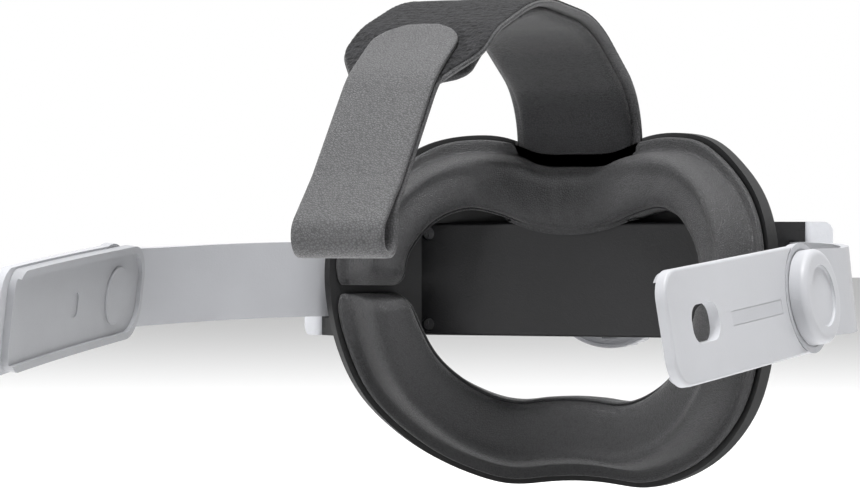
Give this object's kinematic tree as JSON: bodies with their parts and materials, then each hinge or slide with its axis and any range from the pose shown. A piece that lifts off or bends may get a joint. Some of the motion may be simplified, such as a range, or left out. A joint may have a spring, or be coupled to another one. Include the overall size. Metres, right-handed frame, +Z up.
{
  "type": "vr headset head strap",
  "caption": "Head strap with a padded rear ring, dial-adjusted side bands, swivelling clips and a padded top strap with a folded tail.",
  "frame": {"origin": "on the head's vertical axis, level with the dial's axis", "axes": "+X to the wearer's left, +Y towards the back of the head, +Z up"},
  "size_m": [0.2148, 0.2427, 0.1412],
  "materials": {
    "black_plastic": "fine matte texture",
    "cushion_leather": "fine grained, soft sheen",
    "black_textile": "hook tape",
    "screw_steel": "satin",
    "white_plastic": "smooth satin",
    "dark_plastic": "smooth",
    "light_plastic": "smooth satin",
    "clip_plastic": "smooth satin",
    "strap_leather": "fine grained"
  },
  "bodies": {
    "rear_unit": {"ring_frame": "black_plastic", "housing_front": "black_plastic", "channel_plate": "black_plastic", "upper_cushion": "cushion_leather", "lower_cushion": "cushion_leather", "cushion_hook_patches": "black_textile", "strap_hook_patch": "black_textile", "frame_screws": "screw_steel", "housing_screws": "screw_steel", "detent_spring": "screw_steel", "strap_rivets": "screw_steel", "rear_cover": "white_plastic", "top_strap": "strap_leather", "top_strap_pad": "strap_leather"},
    "knob": {"knob_grip": "light_plastic", "knob_cap": "light_plastic", "knob_screw": "screw_steel", "knob_washer": "screw_steel", "pinion_shaft": "dark_plastic", "ratchet_wheel": "dark_plastic"},
    "right_arm": {"right_band": "light_plastic"},
    "left_arm": {"left_band": "light_plastic"},
    "right_clip": {"right_clip_outer": "light_plastic", "right_clip_inner": "clip_plastic", "right_clip_label": "light_plastic", "right_disc_cap": "light_plastic", "right_pivot_pin": "screw_steel", "right_pivot_inner_cap": "light_plastic", "right_pivot_washer": "dark_plastic"},
    "left_clip": {"left_clip_outer": "light_plastic", "left_clip_inner": "clip_plastic", "left_clip_label": "light_plastic", "left_disc_cap": "light_plastic", "left_pivot_pin": "screw_steel", "left_pivot_inner_cap": "light_plastic", "left_pivot_washer": "dark_plastic"}
  },
  "joints": [
    {"name": "right_arm_slide", "type": "hinge", "parent": "rear_unit", "child": "right_arm", "pos_m": [0, 0, 0], "axis": [0, 0, 1], "range_deg": [-12, 2.5]},
    {"name": "left_arm_slide", "type": "hinge", "parent": "rear_unit", "child": "left_arm", "pos_m": [0, 0, 0], "axis": [0, 0, 1], "range_deg": [-2.5, 12]},
    {"name": "dial_turn", "type": "hinge", "parent": "rear_unit", "child": "knob", "pos_m": [0, 0.109, 0], "axis": [0, 1, 0], "range_deg": [-38.5, 184.5]},
    {"name": "right_clip_swivel", "type": "hinge", "parent": "right_arm", "child": "right_clip", "pos_m": [0.09965, -0.0398, -0.003], "axis": [0.9829, -0.1207, 0.1392], "range_deg": [-20, 35]},
    {"name": "left_clip_swivel", "type": "hinge", "parent": "left_arm", "child": "left_clip", "pos_m": [-0.09965, -0.0398, -0.003], "axis": [-0.9829, -0.1207, 0.1392], "range_deg": [-35, 20]}
  ],
  "couplings": [
    {"joint": "left_arm_slide", "follows": "right_arm_slide", "ratio": -1},
    {"joint": "dial_turn", "follows": "right_arm_slide", "ratio": -15.333}
  ]
}
